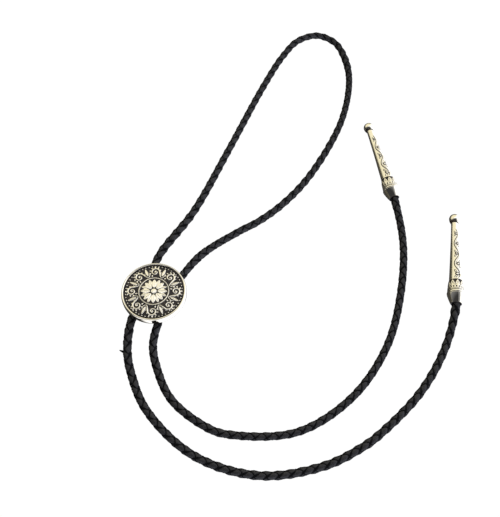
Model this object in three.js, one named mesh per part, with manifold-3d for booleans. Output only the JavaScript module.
// Bolo tie lying on a flat surface: one braided cord runs up one tail, through the slide,
// round the neck loop, back through the slide and down the other tail, with a cast tip at
// each end. Millimetres, +Z up, the surface is z = 0, and the origin is the middle of the
// slide's flat back, right under the centre of the concho.
import * as THREE from 'three';
import { mergeVertices } from 'three/addons/utils/BufferGeometryUtils.js';
import Module from 'manifold-3d';

const wasm = await Module();
wasm.setup();

// Driving dimensions of the cord and of the gaps between pieces
const cordDiameter = 3.8;
const cordFloorGap = 0.1;
const clearance = 0.3;

// Driving dimensions of the concho, a round casting with a hollow back
const conchoDiameter = 32;
const wallHeight = 4.6;
const wallThickness = 1.6;
const plateThickness = 1.6;
const rimWidth = 1.2;
const rimHeight = 0.9;
const faceRise = 0.5;
const reliefHeight = 0.5;
const rosetteDiameter = 12.6;
const ringDiameter = 14.6;
const ringWidth = 0.5;
const scrollDiameter = 4.6;
const leafLength = 3.1;
const borderBeadDiameter = 0.8;

// Driving dimensions of the slide clip, two tubes on a back plate
const clipLength = 16;
const clipAngle = 20;
const tubeSpacing = 13.2;
const tubeWall = 0.7;
const backPlateThickness = 0.8;
const padWidth = 5;
const padLength = 10;

// Driving dimensions of the tips, measured along the axis from the mouth
const tipLength = 54.5;
const ballDiameter = 5.6;
const neckDiameter = 3.6;
const shaftDiameter = 6.7;
const collarTopDiameter = 7.3;
const collarDiameter = 8.9;
const lipDiameter = 9;
const mouthWall = 0.6;
const bevelLength = 5.2;
const lipLength = 1.2;
const collarLength = 6.4;
const socketDepth = 9;
const vineHeight = 0.22;
const vineRoll = -22;

// Where each tip's mouth lies, and the way that its ball points, in degrees from +Y
const tipPlaces = [
  { name: 'tip_outer', x: 148.5, y: -4.8, heading: 8.0 },
  { name: 'tip_inner', x: 124.6, y: 58.4, heading: -10.2 },
];

// Cord route on the surface, in X and Y: the outer tail, the neck loop and the inner tail
const outerTail = [
  [141.0, -26.0], [126.0, -49.0], [106.0, -68.0], [97.5, -74.0], [79.5, -82.5], [50.5, -86.5],
  [21.5, -77.5], [-0.5, -57.0], [-9.0, -39.0], [-11.5, -28.5], [-11.5, -15.5],
];
const neckLoop = [
  [0.0, 24.0], [17.0, 52.0], [34.5, 92.5], [55.5, 143.0], [67.5, 167.5], [77.5, 181.0],
  [89.5, 185.5], [100.0, 179.5], [105.5, 166.0], [107.0, 147.0], [100.0, 114.5],
  [80.0, 75.5], [64.5, 56.5], [51.5, 45.5], [41.0, 39.0], [21.5, 24.5],
];
const innerTail = [
  [0.5, -24.5], [3.0, -36.5], [11.0, -52.5], [28.0, -65.5], [37.5, -68.5], [68.0, -67.5],
  [94.0, -51.5], [112.5, -26.5], [122.5, 2.5], [127.0, 33.5],
];

// How finely round shapes are divided
const conchoSides = 40;
const tipSides = 20;
const tubeSides = 20;
const cordSides = 8;
const stepsBetweenPoints = 2;

// Sizes that follow from the driving dimensions
const degree = Math.PI / 180;
const conchoRadius = conchoDiameter / 2;
const faceRadius = conchoRadius - rimWidth;
const cordRestHeight = cordDiameter / 2 + cordFloorGap;
const tubeBore = cordDiameter / 2 + clearance;
const tubeOuter = tubeBore + tubeWall;
const tubeHeight = tubeOuter + 0.1 * backPlateThickness;
const conchoUnderside = tubeHeight + cordDiameter / 2 + 1.5 * clearance;
const rimTop = conchoUnderside + wallHeight;
const faceEdge = rimTop - rimHeight;
const plateUnderside = faceEdge - plateThickness;

const castMetal = { color: 0xd9c98f, roughness: 0.3, metalness: 1 };
const plainMetal = { color: 0xb9b7b0, roughness: 0.35, metalness: 1 };
const blackLeather = { color: 0x17171a, roughness: 0.55, metalness: 0 };

// Turns a closed geometry into a solid that can be joined or cut
function solid(geometry) {
  const bare = geometry.index ? geometry.toNonIndexed() : geometry.clone();
  bare.deleteAttribute('normal');
  bare.deleteAttribute('uv');
  const merged = mergeVertices(bare, 1e-5);
  return new wasm.Manifold(new wasm.Mesh({
    numProp: 3,
    vertProperties: Float32Array.from(merged.attributes.position.array),
    triVerts: Uint32Array.from(merged.index.array),
  }));
}

// Turns a solid back into a geometry
function geometryOf(body) {
  const mesh = body.getMesh();
  const geometry = new THREE.BufferGeometry();
  geometry.setAttribute('position', new THREE.BufferAttribute(mesh.vertProperties, mesh.numProp));
  geometry.setIndex(new THREE.BufferAttribute(mesh.triVerts, 1));
  geometry.computeVertexNormals();
  return geometry;
}

function union(bodies) {
  return bodies.reduce((sum, body) => sum.add(body));
}

function namedMesh(name, geometry, look) {
  const mesh = new THREE.Mesh(geometry, new THREE.MeshStandardMaterial(look));
  mesh.name = name;
  return mesh;
}

// Points of a quarter ellipse from one angle to another, without its first point
function arcPoints(centreX, centreY, radiusX, radiusY, from, to, steps) {
  const points = [];
  for (let i = 1; i <= steps; i += 1) {
    const angle = (from + (to - from) * i / steps) * degree;
    points.push([centreX + radiusX * Math.cos(angle), centreY + radiusY * Math.sin(angle)]);
  }
  return points;
}

// A solid of revolution round +Z from a list of [radius, height]
function turned(profile, sides) {
  const geometry = new THREE.LatheGeometry(profile.map(([r, z]) => new THREE.Vector2(r, z)), sides);
  return geometry.rotateX(Math.PI / 2);
}

// Height of the concho's domed face at a distance from its centre
function faceHeight(radius) {
  const share = Math.min(radius / faceRadius, 1);
  return faceEdge + faceRise * (1 - share * share);
}

// The concho's body: face, raised ring, rim, round wall and hollow back
function conchoBody() {
  const ringInner = (ringDiameter - ringWidth) / 2;
  const ringOuter = (ringDiameter + ringWidth) / 2;
  const ringTop = faceHeight(ringInner) + 0.6 * reliefHeight;
  const bossRadius = 0.13 * rosetteDiameter;
  const rimCrest = conchoRadius - rimWidth / 2;
  const profile = [
    [0, plateUnderside],
    [conchoRadius - wallThickness, plateUnderside],
    [conchoRadius - wallThickness, conchoUnderside],
    [conchoRadius - wallThickness / 2, conchoUnderside],
    ...arcPoints(conchoRadius - wallThickness / 2, conchoUnderside + wallHeight * 0.6,
      wallThickness / 2, wallHeight * 0.6, -90, 0, 4),
    ...arcPoints(rimCrest, rimTop - wallHeight * 0.4, rimWidth / 2, wallHeight * 0.4, 0, 90, 3),
    [faceRadius, rimTop - 0.3 * rimHeight],
    [faceRadius, faceEdge],
    [0.5 * (faceRadius + ringOuter), faceHeight(0.5 * (faceRadius + ringOuter))],
    [ringOuter, faceHeight(ringOuter)],
    [ringOuter, ringTop],
    [ringInner, ringTop],
    [ringInner, faceHeight(ringInner)],
    [0.5 * rosetteDiameter, faceHeight(0.5 * rosetteDiameter)],
    [bossRadius, faceHeight(bossRadius)],
    ...arcPoints(0, faceHeight(bossRadius), bossRadius, 1.4 * reliefHeight, 0, 90, 3),
  ];
  profile[profile.length - 1][0] = 0;
  return solid(turned(profile, conchoSides));
}

// Raises a flat outline off the domed face: its foot is under the face, its top above it
function raised(outline) {
  const shape = new THREE.Shape(outline);
  const geometry = new THREE.ExtrudeGeometry(shape, {
    depth: 2 * reliefHeight,
    steps: 1,
    bevelEnabled: false,
  });
  const position = geometry.attributes.position;
  for (let i = 0; i < position.count; i += 1) {
    const radius = Math.hypot(position.getX(i), position.getY(i));
    position.setZ(i, position.getZ(i) - reliefHeight + faceHeight(radius));
  }
  return solid(geometry);
}

// A pointed leaf from one radius to another, widest at a share of its length
function leafOutline(inner, outer, width, widest, turn) {
  const side = [[0, 0], [0.25, 0.7], [widest, 1], [0.8, 0.72], [1, 0]];
  const there = side.map(([along, out]) => [inner + along * (outer - inner), out * width / 2]);
  const back = there.slice(1, -1).reverse().map(([r, w]) => [r, -w]);
  const cos = Math.cos(turn);
  const sin = Math.sin(turn);
  return [...there, ...back].reverse().map(([r, w]) =>
    new THREE.Vector2(r * cos - w * sin, r * sin + w * cos));
}

// A scroll that curls in towards its own centre and thins as it goes
function scrollOutline(centreRadius, size, turn, hand) {
  const turns = 1.15;
  const steps = 12;
  const outside = [];
  const inside = [];
  for (let i = 0; i <= steps; i += 1) {
    const share = i / steps;
    const angle = turn + hand * (share * turns * 2 * Math.PI - 0.5 * Math.PI);
    const reach = size * (0.5 - 0.36 * share);
    const half = size * (0.085 - 0.035 * share);
    const cx = centreRadius * Math.cos(turn);
    const cy = centreRadius * Math.sin(turn);
    outside.push([cx + (reach + half) * Math.cos(angle), cy + (reach + half) * Math.sin(angle)]);
    inside.push([cx + (reach - half) * Math.cos(angle), cy + (reach - half) * Math.sin(angle)]);
  }
  const loop = [...outside, ...inside.reverse()];
  return loop.map(([x, y]) => new THREE.Vector2(x, y));
}

// The relief on the face: an eight-petal rosette, a band of scrolls and leaves, and beads
function conchoRelief() {
  const pieces = [];
  const petals = 8;
  const beads = 32;
  const bandCentre = ringDiameter / 4 + faceRadius / 2 - borderBeadDiameter / 2;
  for (let i = 0; i < petals; i += 1) {
    const turn = i * 2 * Math.PI / petals;
    const half = turn + Math.PI / petals;
    pieces.push(raised(leafOutline(0.16 * rosetteDiameter, 0.5 * rosetteDiameter,
      0.24 * rosetteDiameter, 0.6, turn)));
    pieces.push(raised(scrollOutline(bandCentre, scrollDiameter, turn, 1)));
    pieces.push(raised(leafOutline(bandCentre - leafLength / 2, bandCentre + leafLength / 2,
      0.36 * leafLength, 0.4, half)));
  }
  for (let i = 0; i < beads; i += 1) {
    const turn = (i + 0.5) * 2 * Math.PI / beads;
    const reach = faceRadius - 0.8 * borderBeadDiameter;
    const bead = new THREE.ConeGeometry(borderBeadDiameter / 2, 2 * reliefHeight, 5);
    bead.rotateX(Math.PI / 2);
    bead.translate(reach * Math.cos(turn), reach * Math.sin(turn), faceHeight(reach) + 0.2 * reliefHeight);
    pieces.push(solid(bead));
  }
  return pieces;
}

// A round bar or bore along +Y; a bore's flats are pushed out to its named radius
function bar(radius, length, sides) {
  return new THREE.CylinderGeometry(radius, radius, length, sides);
}

// The slide clip: two tubes on a flat back plate, with a pad that carries the concho
function slideClip() {
  const padTop = plateUnderside - clearance;
  const plate = new THREE.BoxGeometry(tubeSpacing, clipLength, backPlateThickness);
  plate.translate(0, 0, backPlateThickness / 2);
  const pad = new THREE.BoxGeometry(padWidth, padLength, padTop - backPlateThickness / 2);
  pad.translate(0, 0, (padTop + backPlateThickness / 2) / 2);
  let body = solid(plate).add(solid(pad));
  for (const side of [-1, 1]) {
    const tube = bar(tubeOuter, clipLength, tubeSides);
    tube.translate(side * tubeSpacing / 2, 0, tubeHeight);
    body = body.add(solid(tube));
  }
  for (const side of [-1, 1]) {
    const bore = bar(tubeBore / Math.cos(Math.PI / tubeSides), 2 * clipLength, tubeSides);
    bore.translate(side * tubeSpacing / 2, 0, tubeHeight);
    body = body.subtract(solid(bore));
  }
  const geometry = geometryOf(body);
  return geometry.rotateZ(-clipAngle * degree);
}

// Where each form of the tip starts, along its axis from the mouth
const lipStart = bevelLength;
const collarStart = lipStart + lipLength;
const shaftStart = collarStart + collarLength;
const ballCentre = tipLength - ballDiameter / 2;
const neckPlace = ballCentre - 0.45 * ballDiameter;
const mouthRadius = cordDiameter / 2 + clearance + mouthWall;

// Radius of the shaft at a distance from the mouth: it narrows towards the neck
function shaftRadius(along) {
  const share = (neckPlace - along) / (neckPlace - shaftStart);
  return (neckDiameter + (shaftDiameter - neckDiameter) * Math.pow(Math.max(share, 0), 1.25)) / 2;
}

// A tip without its vine: socket, bevel, lip, collar, shaft, neck and ball, along +Y
function tipBody() {
  const bore = (cordDiameter / 2 + clearance) / Math.cos(Math.PI / tipSides);
  const collarRadius = collarDiameter / 2;
  const groove = 0.35;
  const shaftSteps = 5;
  const neckAngle = Math.asin(Math.min(1, neckDiameter / ballDiameter)) / degree;
  const profile = [
    [0, socketDepth],
    [bore, socketDepth],
    [bore, 0],
    [mouthRadius, 0],
    [mouthRadius + 0.62 * (collarRadius - mouthRadius), 0.45 * bevelLength],
    [mouthRadius + 0.9 * (collarRadius - mouthRadius), 0.8 * bevelLength],
    [collarRadius, lipStart],
    [lipDiameter / 2, lipStart + 0.25 * lipLength],
    [lipDiameter / 2, lipStart + 0.8 * lipLength],
    [collarRadius - groove, collarStart],
    [collarRadius - groove / 2, collarStart + 0.1 * collarLength],
    [0.5 * (collarRadius + collarTopDiameter / 2), collarStart + 0.5 * collarLength],
    [collarTopDiameter / 2, shaftStart - 0.12 * collarLength],
    [shaftRadius(shaftStart) - groove / 2, shaftStart],
  ];
  for (let i = 1; i <= shaftSteps; i += 1) {
    const along = shaftStart + (neckPlace - shaftStart) * i / shaftSteps;
    profile.push([shaftRadius(along), along]);
  }
  profile.push(...arcPoints(0, ballCentre, ballDiameter / 2, ballDiameter / 2,
    neckAngle - 90, 90, 6));
  profile[profile.length - 1][0] = 0;
  return solid(new THREE.LatheGeometry(profile.map(([r, y]) => new THREE.Vector2(r, y)), tipSides));
}

// A point on the shaft's surface, at a share of its length and a turn from the vine's line
function onShaft(share, turn, lift) {
  const along = shaftStart + share * (neckPlace - shaftStart);
  const radius = shaftRadius(along) + lift;
  return new THREE.Vector3(radius * Math.sin(turn), along, radius * Math.cos(turn));
}

// A raised vine: a waving stem with a bud in each of its bends
function vine(turn) {
  const bends = 7;
  const swing = 0.5;
  const first = 0.04;
  const last = 0.86;
  const stemPoints = [];
  const buds = [];
  for (let i = 0; i <= 2 * bends; i += 1) {
    const share = first + (last - first) * i / (2 * bends);
    const wave = Math.sin(i * Math.PI / 2);
    stemPoints.push(onShaft(share, turn + swing * wave, 0));
    if (i % 2 === 1) {
      const bud = new THREE.IcosahedronGeometry(1, 0);
      const size = shaftRadius(shaftStart + share * (neckPlace - shaftStart)) / 4;
      bud.scale(size, 1.35 * size, vineHeight + 0.3 * size);
      bud.rotateY(turn - 0.55 * swing * wave);
      const place = onShaft(share, turn - 0.55 * swing * wave, 0);
      bud.translate(place.x, place.y, place.z);
      buds.push(solid(bud));
    }
  }
  const section = new THREE.Shape([0, 1, 2, 3].map((i) =>
    new THREE.Vector2(vineHeight * Math.cos(i * Math.PI / 2), vineHeight * Math.sin(i * Math.PI / 2))));
  const stem = new THREE.ExtrudeGeometry(section, {
    steps: 4 * bends,
    extrudePath: new THREE.CatmullRomCurve3(stemPoints),
  });
  return [solid(stem), ...buds];
}

function tipGeometry() {
  const roll = vineRoll * degree;
  return geometryOf(union([tipBody(), ...vine(-roll), ...vine(Math.PI - roll)]));
}

// The tip rests on its lip and its ball, which sets its slope and its mouth's height
const tipSlope = Math.asin((lipDiameter - ballDiameter) / 2 / (ballCentre - lipStart - lipLength / 2));
const mouthHeight = lipDiameter / 2 * Math.cos(tipSlope)
  + (lipStart + lipLength / 2) * Math.sin(tipSlope) + cordFloorGap / 2;

// The way from a tip's mouth to its ball
function tipDirection(place) {
  const heading = place.heading * degree;
  return new THREE.Vector3(
    Math.sin(heading) * Math.cos(tipSlope),
    Math.cos(heading) * Math.cos(tipSlope),
    -Math.sin(tipSlope),
  );
}

function tipMouth(place) {
  return new THREE.Vector3(place.x, place.y, mouthHeight);
}

// The cord follows its points in even shares, and never sinks into the surface
class CordRoute extends THREE.CatmullRomCurve3 {
  getPoint(t, target = new THREE.Vector3()) {
    const point = super.getPoint(t, target);
    point.z = Math.max(point.z, cordRestHeight);
    return point;
  }

  getUtoTmapping(u) {
    return u;
  }
}

// A point on the axis of one of the clip's tubes
function inClip(side, along) {
  const angle = clipAngle * degree;
  return new THREE.Vector3(
    side * tubeSpacing / 2 * Math.cos(angle) + along * Math.sin(angle),
    along * Math.cos(angle) - side * tubeSpacing / 2 * Math.sin(angle),
    tubeHeight,
  );
}

// Both ends of the cord sit in a tip's socket, and both of its legs run through the clip
function cordRoute() {
  const laid = ([x, y]) => new THREE.Vector3(x, y, cordRestHeight);
  const inTip = (place) => tipMouth(place).addScaledVector(tipDirection(place), socketDepth - clearance);
  const half = clipLength / 2;
  return new CordRoute([
    inTip(tipPlaces[0]),
    tipMouth(tipPlaces[0]),
    ...outerTail.map(laid),
    inClip(-1, -half),
    inClip(-1, 0),
    inClip(-1, half),
    ...neckLoop.map(laid),
    inClip(1, half),
    inClip(1, 0),
    inClip(1, -half),
    ...innerTail.map(laid),
    tipMouth(tipPlaces[1]),
    inTip(tipPlaces[1]),
  ], false, 'centripetal');
}

function cordGeometry() {
  const route = cordRoute();
  const corner = (i) => (i + 0.5) * 2 * Math.PI / cordSides;
  const section = new THREE.Shape(Array.from({ length: cordSides }, (_, i) =>
    new THREE.Vector2(cordDiameter / 2 * Math.cos(corner(i)), cordDiameter / 2 * Math.sin(corner(i)))));
  return new THREE.ExtrudeGeometry(section, {
    steps: stepsBetweenPoints * (route.points.length - 1),
    extrudePath: route,
  });
}

const boloTie = new THREE.Group();
boloTie.add(namedMesh('cord', cordGeometry(), blackLeather));
boloTie.add(namedMesh('concho', geometryOf(union([conchoBody(), ...conchoRelief()])), castMetal));
boloTie.add(namedMesh('slide_clip', slideClip(), plainMetal));
for (const place of tipPlaces) {
  const tip = namedMesh(place.name, tipGeometry(), castMetal);
  tip.position.copy(tipMouth(place));
  tip.quaternion.setFromUnitVectors(new THREE.Vector3(0, 1, 0), tipDirection(place));
  boloTie.add(tip);
}

export default boloTie;
